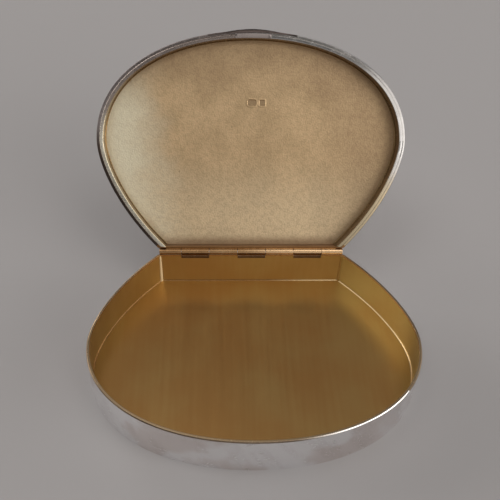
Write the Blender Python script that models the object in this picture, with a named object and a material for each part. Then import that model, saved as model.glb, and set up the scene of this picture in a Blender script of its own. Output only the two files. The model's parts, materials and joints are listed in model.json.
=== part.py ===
"""Shell-shaped silver tobacco box, gilt inside, standing with its lid open against its stop.

Lengths are in metres and +Z is up. The origin is on the resting edge under the middle of the hinge side,
halfway through the back wall. X runs along the hinge and the bowed front of the box is towards -Y.
Every lid piece is modelled closed and hangs on lid_pivot, which is on the hinge axis and swings it open.
"""

from math import acos, asin, atan2, cos, pi, radians, sin

import bmesh
import bpy
from mathutils import Matrix, Vector
from mathutils.geometry import interpolate_bezier

# Outline of the box from above: a straight hinge side and, on each side, two curves that meet at the widest place
MAX_WIDTH = 0.0850
DEPTH = 0.0597
HINGE_WIDTH = 0.0513
WIDEST_DEPTH = 0.0306
CORNER_ANGLE = radians(45)
# How far each curve keeps its heading at the hinge corner, behind and before the widest place, and in front
CORNER_REACH = 0.0166
WIDEST_BACK_REACH = 0.0067
WIDEST_FRONT_REACH = 0.0175
FRONT_REACH = 0.0247
CURVE_STEPS = 14

# Base
BASE_HEIGHT = 0.0128
BASE_WALL_THICKNESS = 0.00075
FLOOR_THICKNESS = 0.0009
FLOOR_RISE = 0.0012
EDGE_ROUND = 0.00012
EDGE_ROUND_SEGMENTS = 2

# Lid, measured upwards from its closed rim
LID_INSET = 0.0001
LID_WALL_THICKNESS = 0.0009
LID_WALL_HEIGHT = 0.0050
BEZEL_THICKNESS = 0.0010
BEZEL_REACH = 0.0010
PLATE_HEIGHT = 0.0038
PLATE_THICKNESS = 0.00045
COVER_THICKNESS = 0.00050
DOME_HEIGHT = 0.0030
DOME_BACK_SLOPE = 0.0140
DOME_POWER = 3
FLUTE_COUNT = 16
FLUTE_STEPS = 4
FLUTE_HEIGHT = 0.0004
FLUTE_BULGE = 0.00025
COVER_RINGS = 8

# Thumbpiece on the front wall of the lid, and the strip across the bezel that grips the base
THUMB_LENGTH = 0.0240
THUMB_PROJECTION = 0.0006
THUMB_HEIGHT = 0.0014
THUMB_STEPS = 16
CATCH_LENGTH = 0.0097
CATCH_THICKNESS = 0.0003
CATCH_GRIP = 0.0002
CATCH_STEPS = 6

# Hinge: seven knuckles on one pin, let into both back walls, between two bearers that stop the lid
OPEN_ANGLE = radians(127.6)
LID_KNUCKLE_SPAN = 0.0078
MIDDLE_KNUCKLE_SPAN = 0.0079
BARREL_RADIUS = 0.0010
PIN_RADIUS = 0.0005
PLUG_LENGTH = 0.0012
GROOVE_SKIN = 0.00014
NOTCH_DEPTH = 0.00125
BEARER_THICKNESS = 0.0005
BARREL_SIDES = 32
BEARER_STEPS = 8

# Clearances
SOLDER_GAP = 0.00005
CLOSING_GAP = 0.00006
KNUCKLE_GAP = 0.0001
PIN_CLEARANCE = 0.00004
BARREL_CLEARANCE = 0.00006
STOP_GAP = 0.00005
CUT_OVERRUN = 0.0015

BACK_Y = BASE_WALL_THICKNESS / 2
GROOVE_RADIUS = BARREL_RADIUS + BARREL_CLEARANCE
HINGE_SETBACK = GROOVE_RADIUS + GROOVE_SKIN - BASE_WALL_THICKNESS
HINGE_AXIS = Vector((0, BACK_Y + HINGE_SETBACK, BASE_HEIGHT + CLOSING_GAP / 2))
END_KNUCKLE_SPAN = (HINGE_WIDTH - 3 * LID_KNUCKLE_SPAN - 2 * MIDDLE_KNUCKLE_SPAN) / 2
LID_RIM = BASE_HEIGHT + CLOSING_GAP
LID_TOP = LID_RIM + LID_WALL_HEIGHT
PLATE_BOTTOM = LID_RIM + PLATE_HEIGHT
LID_INNER_INSET = LID_INSET + LID_WALL_THICKNESS
BEZEL_INSET = LID_INNER_INSET + SOLDER_GAP
BEZEL_BOTTOM = BASE_HEIGHT - BEZEL_REACH
SHARP_ANGLE = radians(30)


def clear_scene():
    """Removes every object, so that only the box is left."""
    for obj in list(bpy.data.objects):
        bpy.data.objects.remove(obj)


def metal(name, color, roughness):
    """A plain metal of this colour."""
    material = bpy.data.materials.new(name)
    material.use_nodes = True
    material.diffuse_color = (*color, 1)
    shader = material.node_tree.nodes["Principled BSDF"]
    shader.inputs["Base Color"].default_value = (*color, 1)
    shader.inputs["Metallic"].default_value = 1
    shader.inputs["Roughness"].default_value = roughness
    return material


def finished(name, mesh_data, materials, smooth=True):
    """Turns a bmesh into a named object with its faces outwards and its curved faces smooth."""
    bmesh.ops.recalc_face_normals(mesh_data, faces=mesh_data.faces)
    mesh = bpy.data.meshes.new(name)
    mesh_data.to_mesh(mesh)
    mesh_data.free()
    for material in materials:
        mesh.materials.append(material)
    if smooth:
        mesh.shade_smooth()
        mesh.set_sharp_from_angle(angle=SHARP_ANGLE)
    obj = bpy.data.objects.new(name, mesh)
    bpy.context.collection.objects.link(obj)
    return obj


def half_outline():
    """Right half of the outer outline, from the hinge corner to the middle of the front."""
    corner = Vector((HINGE_WIDTH / 2, BACK_Y))
    widest = Vector((MAX_WIDTH / 2, BACK_Y - WIDEST_DEPTH))
    front = Vector((0, BACK_Y - DEPTH))
    heading = Vector((sin(CORNER_ANGLE), -cos(CORNER_ANGLE)))
    forward = Vector((0, -1))
    sideways = Vector((1, 0))
    back_curve = interpolate_bezier(
        corner,
        corner + CORNER_REACH * heading,
        widest - WIDEST_BACK_REACH * forward,
        widest,
        CURVE_STEPS + 1,
    )
    front_curve = interpolate_bezier(
        widest,
        widest + WIDEST_FRONT_REACH * forward,
        front + FRONT_REACH * sideways,
        front,
        CURVE_STEPS + 1,
    )
    return [point.to_2d() for point in back_curve + front_curve[1:]]


def outline(inset):
    """Closed outline this far inside the outer face, from the right hinge corner round the front to the left."""
    right = half_outline()
    left = [Vector((-point.x, point.y)) for point in reversed(right[:-1])]
    points = right + left
    moved = []
    for index, point in enumerate(points):
        arriving = (point - points[index - 1]).normalized()
        leaving = (points[(index + 1) % len(points)] - point).normalized()
        inward_a = Vector((arriving.y, -arriving.x))
        inward_b = Vector((leaving.y, -leaving.x))
        miter = (inward_a + inward_b) / (1 + inward_a.dot(inward_b))
        moved.append(point + inset * miter)
    return moved


def bow(inset, back_inset):
    """The same outline without its hinge side, each end carried on to the line back_inset before the hinge side."""
    points = outline(inset)
    stop_y = BACK_Y - back_inset
    for end, beside in ((0, 1), (-1, -2)):
        run = points[beside] - points[end]
        points[end] = points[end] + run * (stop_y - points[end].y) / run.y
    return points


def front_bow(inset, length, steps):
    """Points along the front of the outline at equal steps of X, from the right to the left."""
    points = outline(inset)
    found = []
    for step in range(steps + 1):
        x = length * (0.5 - step / steps)
        for right, left in zip(points, points[1:]):
            if right.x >= x >= left.x and max(right.y, left.y) < BACK_Y - WIDEST_DEPTH:
                share = (right.x - x) / (right.x - left.x)
                found.append(right.lerp(left, share))
                break
    return found


def raised(outer, inner, bottom, top, closed=True):
    """A plate of this outline or, with an inner line of as many points, a strip between the two lines."""
    mesh_data = bmesh.new()
    outer_verts = [mesh_data.verts.new((*point, bottom)) for point in outer]
    if inner is None:
        mesh_data.faces.new(outer_verts)
    else:
        inner_verts = [mesh_data.verts.new((*point, bottom)) for point in inner]
        for index in range(len(outer) - (not closed)):
            after = (index + 1) % len(outer)
            corners = (outer_verts[index], outer_verts[after], inner_verts[after], inner_verts[index])
            mesh_data.faces.new(corners)
    grown = bmesh.ops.extrude_face_region(mesh_data, geom=mesh_data.faces[:], use_keep_orig=True)
    lifted = [item for item in grown["geom"] if isinstance(item, bmesh.types.BMVert)]
    bmesh.ops.translate(mesh_data, verts=lifted, vec=(0, 0, top - bottom))
    return mesh_data


def along_hinge(outer, inner, start, end):
    """A profile of (Y, Z) points, or a tube between two such profiles, carried along X."""
    mesh_data = bmesh.new()
    outer_verts = [mesh_data.verts.new((start, *point)) for point in outer]
    if inner is None:
        mesh_data.faces.new(outer_verts)
    else:
        inner_verts = [mesh_data.verts.new((start, *point)) for point in inner]
        for index in range(len(outer)):
            after = (index + 1) % len(outer)
            corners = (outer_verts[index], outer_verts[after], inner_verts[after], inner_verts[index])
            mesh_data.faces.new(corners)
    grown = bmesh.ops.extrude_face_region(mesh_data, geom=mesh_data.faces[:], use_keep_orig=True)
    carried = [item for item in grown["geom"] if isinstance(item, bmesh.types.BMVert)]
    bmesh.ops.translate(mesh_data, verts=carried, vec=(end - start, 0, 0))
    return mesh_data


def arc(radius, start, end, steps):
    """Points (Y, Z) round the hinge axis, from one angle to another, where 0 points backwards."""
    angles = [start + (end - start) * step / steps for step in range(steps + 1)]
    return [(HINGE_AXIS.y + radius * cos(a), HINGE_AXIS.z + radius * sin(a)) for a in angles]


def circle(radius):
    """A full turn of points round the hinge axis."""
    return arc(radius, 0, 2 * pi, BARREL_SIDES)[:-1]


def gild(obj, is_gilt):
    """Gives the second material to each face whose centre and normal pass the test."""
    for polygon in obj.data.polygons:
        polygon.material_index = int(is_gilt(polygon.center, polygon.normal))


def faces_inside(center, normal):
    """True for an upright face that looks towards the middle of the box."""
    to_middle = Vector((0, BACK_Y - WIDEST_DEPTH, center.z)) - center
    return abs(normal.z) < sin(SHARP_ANGLE) and normal.dot(to_middle) > 0


def round_edges(obj):
    """Softens the right-angled edges."""
    modifier = obj.modifiers.new("soft_edges", "BEVEL")
    modifier.width = EDGE_ROUND
    modifier.segments = EDGE_ROUND_SEGMENTS
    modifier.limit_method = "ANGLE"
    modifier.angle_limit = pi / 3


def cut(obj, cutter):
    """Takes the cutter's shape out of the object."""
    cutter.hide_render = True
    cutter.display_type = "WIRE"
    modifier = obj.modifiers.new(cutter.name, "BOOLEAN")
    modifier.operation = "DIFFERENCE"
    modifier.object = cutter


def knuckle_spans():
    """Where each knuckle has its place along the hinge, from the left: (is_lid, start, end)."""
    spans = []
    start = -HINGE_WIDTH / 2
    lengths = [END_KNUCKLE_SPAN, LID_KNUCKLE_SPAN, MIDDLE_KNUCKLE_SPAN, LID_KNUCKLE_SPAN]
    lengths += [MIDDLE_KNUCKLE_SPAN, LID_KNUCKLE_SPAN, END_KNUCKLE_SPAN]
    for index, length in enumerate(lengths):
        spans.append((index % 2 == 1, start, start + length))
        start += length
    return spans


def make_groove_cutter():
    """Round cutter on the hinge axis that lets the barrel into the back walls."""
    reach = HINGE_WIDTH / 2 + CUT_OVERRUN
    mesh_data = along_hinge(circle(GROOVE_RADIUS), None, -reach, reach)
    return finished("groove_cutter", mesh_data, [])


def make_notch_cutter(number, start, end):
    """Box cutter that opens the base wall for one lid knuckle."""
    front = BACK_Y - BASE_WALL_THICKNESS - CUT_OVERRUN
    back = BACK_Y + CUT_OVERRUN
    bottom = BASE_HEIGHT - NOTCH_DEPTH
    top = BASE_HEIGHT + CUT_OVERRUN
    profile = [(front, bottom), (back, bottom), (back, top), (front, top)]
    return finished(f"notch_cutter_{number}", along_hinge(profile, None, start, end), [], smooth=False)


def make_base_wall(silver, gilt, groove_cutter):
    """Upright strip round the base, let in for the barrel and notched for the lid's knuckles."""
    mesh_data = raised(outline(0), outline(BASE_WALL_THICKNESS), 0, BASE_HEIGHT)
    wall = finished("base_wall", mesh_data, [silver, gilt])
    gild(wall, faces_inside)
    round_edges(wall)
    cut(wall, groove_cutter)
    lid_spans = [span for span in knuckle_spans() if span[0]]
    for number, (_, start, end) in enumerate(lid_spans, 1):
        cut(wall, make_notch_cutter(number, start, end))
    return wall


def make_base_floor(silver, gilt):
    """Flat sheet let into the wall, a little above its resting edge."""
    edge = outline(BASE_WALL_THICKNESS + SOLDER_GAP)
    floor = finished("base_floor", raised(edge, None, FLOOR_RISE, FLOOR_RISE + FLOOR_THICKNESS), [silver, gilt])
    gild(floor, lambda center, normal: normal.z > 0)
    return floor


def bearer_profile(above):
    """Strip along the barrel, from the wall's outer face round to the stop, above or below the axis."""
    inner_radius = GROOVE_RADIUS
    outer_radius = GROOVE_RADIUS + BEARER_THICKNESS
    wall_inset = LID_INSET if above else 0
    reach = HINGE_SETBACK + wall_inset - SOLDER_GAP
    end_angle = OPEN_ANGLE / 2 + asin(STOP_GAP / 2 / inner_radius)
    inner = arc(inner_radius, end_angle, acos(-reach / inner_radius), BEARER_STEPS)
    outer = arc(outer_radius, end_angle, acos(-reach / outer_radius), BEARER_STEPS)
    points = inner + outer[::-1]
    if above:
        return points
    return [(y, 2 * HINGE_AXIS.z - z) for y, z in points]


def make_bearer(name, above, silver):
    """One of the two strips that carry the knuckles and meet behind the barrel as the stop of the open lid."""
    reach = HINGE_WIDTH / 2 - KNUCKLE_GAP / 2
    return finished(name, along_hinge(bearer_profile(above), None, -reach, reach), [silver])


def make_knuckles(silver):
    """The seven tubes of the hinge, as two lists: those of the base and those of the lid."""
    base_knuckles = []
    lid_knuckles = []
    for is_lid, start, end in knuckle_spans():
        group = lid_knuckles if is_lid else base_knuckles
        name = f"{'lid' if is_lid else 'base'}_knuckle_{len(group) + 1}"
        bore = circle(PIN_RADIUS + PIN_CLEARANCE)
        tube = along_hinge(circle(BARREL_RADIUS), bore, start + KNUCKLE_GAP / 2, end - KNUCKLE_GAP / 2)
        group.append(finished(name, tube, [silver]))
    return base_knuckles, lid_knuckles


def make_pin(silver):
    """The pin, and a plug that closes the barrel at each end of it."""
    barrel_end = (HINGE_WIDTH - KNUCKLE_GAP) / 2
    plug_start = barrel_end - PLUG_LENGTH
    pin_end = plug_start - SOLDER_GAP
    finished("hinge_pin", along_hinge(circle(PIN_RADIUS), None, -pin_end, pin_end), [silver])
    finished("pin_plug_left", along_hinge(circle(PIN_RADIUS), None, -barrel_end, -plug_start), [silver])
    finished("pin_plug_right", along_hinge(circle(PIN_RADIUS), None, plug_start, barrel_end), [silver])


def make_lid_wall(silver, gilt, groove_cutter):
    """Upright strip round the lid, let in for the barrel on the hinge side."""
    mesh_data = raised(outline(LID_INSET), outline(LID_INNER_INSET), LID_RIM, LID_TOP)
    wall = finished("lid_wall", mesh_data, [silver, gilt])
    gild(wall, faces_inside)
    round_edges(wall)
    cut(wall, groove_cutter)
    return wall


def make_lid_bezel(gilt):
    """Inner strip round the sides and front of the lid, which enters the base when it shuts."""
    outer = bow(BEZEL_INSET, BEZEL_INSET)
    inner = bow(BEZEL_INSET + BEZEL_THICKNESS, BEZEL_INSET)
    mesh_data = raised(outer, inner, BEZEL_BOTTOM, PLATE_BOTTOM - SOLDER_GAP, closed=False)
    bezel = finished("lid_bezel", mesh_data, [gilt])
    round_edges(bezel)
    return bezel


def make_lid_plate(frosted_gilt):
    """Flat lining plate that rests on the bezel and hides the hollow of the cover."""
    edge = outline(BEZEL_INSET)
    mesh_data = raised(edge, None, PLATE_BOTTOM, PLATE_BOTTOM + PLATE_THICKNESS)
    return finished("lid_lining_plate", mesh_data, [frosted_gilt])


def edge_radius(angle, points):
    """Distance from the middle of the hinge side to the outline, where angle 0 looks forwards."""
    for right, left in zip(points, points[1:]):
        right_angle = atan2(right.x, BACK_Y - right.y)
        left_angle = atan2(left.x, BACK_Y - left.y)
        if right_angle >= angle >= left_angle:
            ray = Vector((sin(angle), -cos(angle)))
            run = left - right
            away = right - Vector((0, BACK_Y))
            return (away.x * run.y - away.y * run.x) / (ray.x * run.y - ray.y * run.x)
    return HINGE_WIDTH / 2


def cover_point(angle, share, points):
    """Place on the fluted outer surface, a share of the way from the hinge side to the edge, and its fluting."""
    ridge = abs(sin(FLUTE_COUNT * (angle + pi / 2)))
    reach = share * (edge_radius(angle, points) + FLUTE_BULGE * ridge)
    forward = reach * cos(angle)
    slope = sin(pi / 2 * min(1, forward / DOME_BACK_SLOPE))
    crown = DOME_HEIGHT * (1 - share**DOME_POWER) * slope
    height = COVER_THICKNESS + crown + FLUTE_HEIGHT * ridge * share * slope
    return Vector((reach * sin(angle), BACK_Y - forward, LID_TOP + SOLDER_GAP + height))


def make_lid_cover(silver):
    """Low domed sheet over the lid, with flutes that fan out from the middle of the hinge side."""
    mesh_data = bmesh.new()
    points = outline(0)
    angle_steps = FLUTE_COUNT * FLUTE_STEPS
    angles = [pi / 2 - pi * step / angle_steps for step in range(angle_steps + 1)]
    seat = LID_TOP + SOLDER_GAP
    sheets = []
    for is_top in (True, False):
        start = mesh_data.verts.new((0, BACK_Y, seat + is_top * COVER_THICKNESS))
        rings = [[start] * len(angles)]
        for ring in range(1, COVER_RINGS + 1):
            places = [cover_point(angle, ring / COVER_RINGS, points) for angle in angles]
            if not is_top:
                for place in places:
                    place.z = seat if ring == COVER_RINGS else place.z - COVER_THICKNESS
            rings.append([mesh_data.verts.new(place) for place in places])
        for inner, outer in zip(rings, rings[1:]):
            for index in range(angle_steps):
                corners = [inner[index], outer[index], outer[index + 1], inner[index + 1]]
                mesh_data.faces.new(list(dict.fromkeys(corners)))
        sheets.append(rings)
    top, under = sheets
    edges = [ring[0] for ring in top] + top[-1][1:] + [ring[-1] for ring in top[-2:0:-1]]
    under_edges = [ring[0] for ring in under] + under[-1][1:] + [ring[-1] for ring in under[-2:0:-1]]
    for index in range(len(edges)):
        mesh_data.faces.new((edges[index - 1], edges[index], under_edges[index], under_edges[index - 1]))
    return finished("lid_cover", mesh_data, [silver])


def make_thumbpiece(silver):
    """Thin lip on the front of the lid wall, which swells to the middle and dies away to its ends."""
    inner = front_bow(LID_INSET - SOLDER_GAP, THUMB_LENGTH, THUMB_STEPS)
    outer = []
    for point in inner:
        swell = cos(pi * point.x / THUMB_LENGTH) ** 2
        outer.append(point + Vector((0, -EDGE_ROUND - THUMB_PROJECTION * swell)))
    mesh_data = raised(outer, inner, LID_RIM, LID_RIM + THUMB_HEIGHT, closed=False)
    return finished("thumbpiece", mesh_data, [silver])


def make_catch_strip(gilt):
    """Strip across the lower edge of the bezel at the front, which reaches out to grip the base wall."""
    outer = front_bow(BEZEL_INSET - CATCH_GRIP, CATCH_LENGTH, CATCH_STEPS)
    inner = front_bow(BEZEL_INSET + BEZEL_THICKNESS, CATCH_LENGTH, CATCH_STEPS)
    top = BEZEL_BOTTOM - SOLDER_GAP
    mesh_data = raised(outer, inner, top - CATCH_THICKNESS, top, closed=False)
    return finished("catch_strip", mesh_data, [gilt])


def hang_on_pivot(pieces):
    """Puts the closed lid pieces on an empty on the hinge axis, and swings it open."""
    pivot = bpy.data.objects.new("lid_pivot", None)
    bpy.context.collection.objects.link(pivot)
    pivot.location = HINGE_AXIS
    pivot.rotation_euler = (-OPEN_ANGLE, 0, 0)
    for piece in pieces:
        piece.data.transform(Matrix.Translation(-HINGE_AXIS))
        piece.parent = pivot


def main():
    """Builds the base, the hinge and the lid."""
    clear_scene()
    silver = metal("polished_silver", (0.80, 0.79, 0.77), 0.18)
    gilt = metal("gilt_silver", (0.72, 0.50, 0.22), 0.25)
    frosted_gilt = metal("frosted_gilt", (0.70, 0.60, 0.38), 0.50)
    groove_cutter = make_groove_cutter()
    make_base_wall(silver, gilt, groove_cutter)
    make_base_floor(silver, gilt)
    make_bearer("base_bearer", False, silver)
    _, lid_knuckles = make_knuckles(silver)
    make_pin(silver)
    lid_pieces = [
        make_lid_wall(silver, gilt, groove_cutter),
        make_lid_bezel(gilt),
        make_lid_plate(frosted_gilt),
        make_lid_cover(silver),
        make_bearer("lid_bearer", True, silver),
        make_thumbpiece(silver),
        make_catch_strip(gilt),
    ]
    hang_on_pivot(lid_pieces + lid_knuckles)


main()
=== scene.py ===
"""Finish and fine form of a shell-shaped silver tobacco box, gilt inside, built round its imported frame.

Lengths are in metres on the frame's own axes: the hinge runs along X and the bowed front is towards -Y.
Every lid piece is modelled on the shut box and then swung open about the hinge pin.
"""

import json
import logging
from collections.abc import Callable, Iterator
from contextlib import contextmanager
from dataclasses import dataclass, field
from enum import Enum
from math import atan2, cos, pi, radians, sin, tan

import bmesh
import bpy
from mathutils import Matrix, Vector
from mathutils.geometry import interpolate_bezier


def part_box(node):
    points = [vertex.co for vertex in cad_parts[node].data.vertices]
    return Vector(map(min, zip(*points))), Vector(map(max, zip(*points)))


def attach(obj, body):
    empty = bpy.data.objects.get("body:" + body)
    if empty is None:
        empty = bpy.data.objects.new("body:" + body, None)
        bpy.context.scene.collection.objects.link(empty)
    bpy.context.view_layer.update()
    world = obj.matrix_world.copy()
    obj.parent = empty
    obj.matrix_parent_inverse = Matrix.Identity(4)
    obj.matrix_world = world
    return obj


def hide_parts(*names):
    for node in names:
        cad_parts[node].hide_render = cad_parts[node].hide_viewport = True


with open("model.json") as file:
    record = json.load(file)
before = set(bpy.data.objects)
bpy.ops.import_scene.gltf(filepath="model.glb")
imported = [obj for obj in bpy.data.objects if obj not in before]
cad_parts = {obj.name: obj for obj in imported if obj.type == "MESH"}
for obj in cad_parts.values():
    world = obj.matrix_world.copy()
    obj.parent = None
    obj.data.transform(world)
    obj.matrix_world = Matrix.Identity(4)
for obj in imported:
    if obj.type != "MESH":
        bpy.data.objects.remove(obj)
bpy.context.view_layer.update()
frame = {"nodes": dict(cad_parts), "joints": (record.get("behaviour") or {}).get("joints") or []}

LID_HINGE = frame["joints"][0]
HINGE_AXIS = Vector(LID_HINGE["pos_m"])
OPEN_ANGLE = radians(LID_HINGE["range_deg"][1])
WALL_LOW, WALL_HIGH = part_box("base_wall")
BASE_HEIGHT = WALL_HIGH.z
BACK_Y = WALL_HIGH.y
FLUTES = 16
# The point value that marks where shade is painted along the lining plate's edge.
EDGE_SHADE = "edge_shade"

# Edges flatter than the first angle are shaded smooth, and those sharper than the second are rounded.
SOFT_ANGLE = radians(40)
SHARP_ANGLE = radians(60)
# Points nearer than this are one point.
DOUBLES = 0.000001
# How far a seam or strip reaches, unseen, into what it lies on, and the play in tests of place.
HIDDEN_SINK = 0.00003
# The share of a face's normal that makes it count as facing one way.
FACING = 0.9

Obj = bpy.types.Object
Face = bpy.types.MeshPolygon
Material = bpy.types.Material
Span = tuple[float, float]
Triple = tuple[float, float, float]
Color = Triple
log = logging.getLogger("tobacco_box")


class Body(Enum):
    """The two bodies of the box, by their names in the frame."""

    BASE = "base"
    LID = "lid"


class Slot(Enum):
    """The record's finishes."""

    SILVER = "polished_silver"
    GILT = "gilt_silver"
    FROSTED = "frosted_gilt"


class Kind(Enum):
    """What a selection is made of."""

    POINT = "VERT"
    EDGE = "EDGE"
    FACE = "FACE"


def start(name: str, primitive: Callable[..., set[str]], **settings: object) -> Obj:
    """Adds a primitive at its size and place, and puts its place into its data.

    Args:
        name: the piece's name.
        primitive: the operator that adds it.
        settings: the operator's own settings.

    Returns:
        The new object.
    """
    bpy.ops.object.select_all(action="DESELECT")
    primitive(**{"location": (0, 0, 0), **settings})
    piece = bpy.context.object
    piece.name = name
    bpy.ops.object.transform_apply(location=True, rotation=True, scale=True)
    return piece


def only(piece: Obj) -> None:
    """Leaves one piece selected and active.

    Args:
        piece: that piece.
    """
    bpy.ops.object.select_all(action="DESELECT")
    piece.select_set(True)
    bpy.context.view_layer.objects.active = piece


@contextmanager
def editing(piece: Obj, kind: Kind = Kind.FACE) -> Iterator[None]:
    """Holds a piece in edit mode with all of it selected.

    Args:
        piece: the mesh to edit.
        kind: whether points, edges or faces are picked.
    """
    only(piece)
    bpy.ops.object.mode_set(mode="EDIT")
    bpy.ops.mesh.select_mode(type=kind.value)
    bpy.ops.mesh.select_all(action="SELECT")
    yield
    bpy.ops.object.mode_set(mode="OBJECT")


def pick(piece: Obj, kind: Kind, test: Callable[..., bool]) -> None:
    """Selects what passes a test on a piece in edit mode, and nothing else.

    Args:
        piece: the mesh.
        kind: whether its points, edges or faces are tested.
        test: takes one of them and says whether it is selected.
    """
    bpy.ops.mesh.select_mode(type=kind.value)
    bpy.ops.mesh.select_all(action="DESELECT")
    mesh_data = bmesh.from_edit_mesh(piece.data)
    items = {Kind.POINT: mesh_data.verts, Kind.EDGE: mesh_data.edges, Kind.FACE: mesh_data.faces}[kind]
    for item in items:
        if test(item):
            item.select_set(True)
    mesh_data.select_flush_mode()
    bmesh.update_edit_mesh(piece.data)


def extrude(move: Vector | Triple) -> None:
    """Extrudes the selection in edit mode by this move."""
    bpy.ops.mesh.extrude_region_move(TRANSFORM_OT_translate={"value": tuple(move)})


def face_outwards() -> None:
    """Merges doubles and turns every face of the piece in edit mode outwards."""
    bpy.ops.mesh.select_all(action="SELECT")
    bpy.ops.mesh.remove_doubles(threshold=DOUBLES)
    bpy.ops.mesh.normals_make_consistent(inside=False)


def shrink(thickness: float) -> None:
    """Draws the edge of the sheet in edit mode in.

    Args:
        thickness: how far, square to the edge.
    """
    bpy.ops.mesh.inset(thickness=thickness)
    bpy.ops.mesh.select_all(action="INVERT")
    bpy.ops.mesh.delete(type="FACE")
    bpy.ops.mesh.select_all(action="SELECT")


def thicken(height: float) -> None:
    """Makes the sheet in edit mode a closed piece.

    Args:
        height: its thickness upwards, or downwards if negative.
    """
    bpy.ops.mesh.select_all(action="SELECT")
    extrude((0, 0, height))
    face_outwards()


def apply_modifier(piece: Obj, kind: str, **settings: object) -> None:
    """Adds a modifier with these settings and applies it.

    Args:
        piece: the mesh it changes.
        kind: Blender's name for the modifier.
        settings: its settings by name.
    """
    only(piece)
    modifier = piece.modifiers.new(kind.lower(), kind)
    for name, value in settings.items():
        setattr(modifier, name, value)
    bpy.ops.object.modifier_apply(modifier=modifier.name)


def soften(piece: Obj, width: float, segments: int = 3) -> None:
    """Rounds the right-angled edges of a piece to this width."""
    settings = {"width": width, "segments": segments, "angle_limit": SHARP_ANGLE}
    apply_modifier(piece, "BEVEL", limit_method="ANGLE", **settings)


def shade(piece: Obj, angle: float = SOFT_ANGLE) -> None:
    """Shades a piece smooth except over sharp edges, and keeps its flat faces flat.

    Args:
        piece: the mesh.
        angle: how sharp an edge has to be to stay one.
    """
    only(piece)
    bpy.ops.object.shade_smooth_by_angle(angle=angle)
    apply_modifier(piece, "WEIGHTED_NORMAL", keep_sharp=True)


def cut(piece: Obj, cutter: Obj) -> None:
    """Takes the cutter's shape out of the piece and throws the cutter away."""
    apply_modifier(piece, "BOOLEAN", object=cutter, operation="DIFFERENCE", solver="EXACT")
    bpy.data.objects.remove(cutter)


def trim(piece: Obj, point: Vector, outwards: Vector) -> None:
    """Cuts off what lies beyond a plane and closes the cut.

    Args:
        piece: a closed mesh.
        point: a place on the plane.
        outwards: the side that is cut off.
    """
    with editing(piece):
        bpy.ops.mesh.bisect(plane_co=point, plane_no=outwards, clear_outer=True, use_fill=True)
        face_outwards()


def move_by(piece: Obj, matrix: Matrix) -> None:
    """Moves a piece and then puts its place into its mesh.

    Args:
        piece: the mesh.
        matrix: the move.
    """
    piece.matrix_world = matrix @ piece.matrix_world
    only(piece)
    bpy.ops.object.transform_apply(location=True, rotation=True, scale=True)


def knuckles(body: Body) -> list[str]:
    """The CAD nodes of one body's knuckles, from left to right."""
    return [node for node in sorted(frame["nodes"]) if node.startswith(f"{body.value}_knuckle")]


def swing_open(piece: Obj) -> None:
    """Turns a piece of the shut lid about the hinge pin until the lid stands open."""
    turn = Matrix.Rotation(-OPEN_ANGLE, 4, "X")
    move_by(piece, Matrix.Translation(HINGE_AXIS) @ turn @ Matrix.Translation(-HINGE_AXIS))


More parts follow.
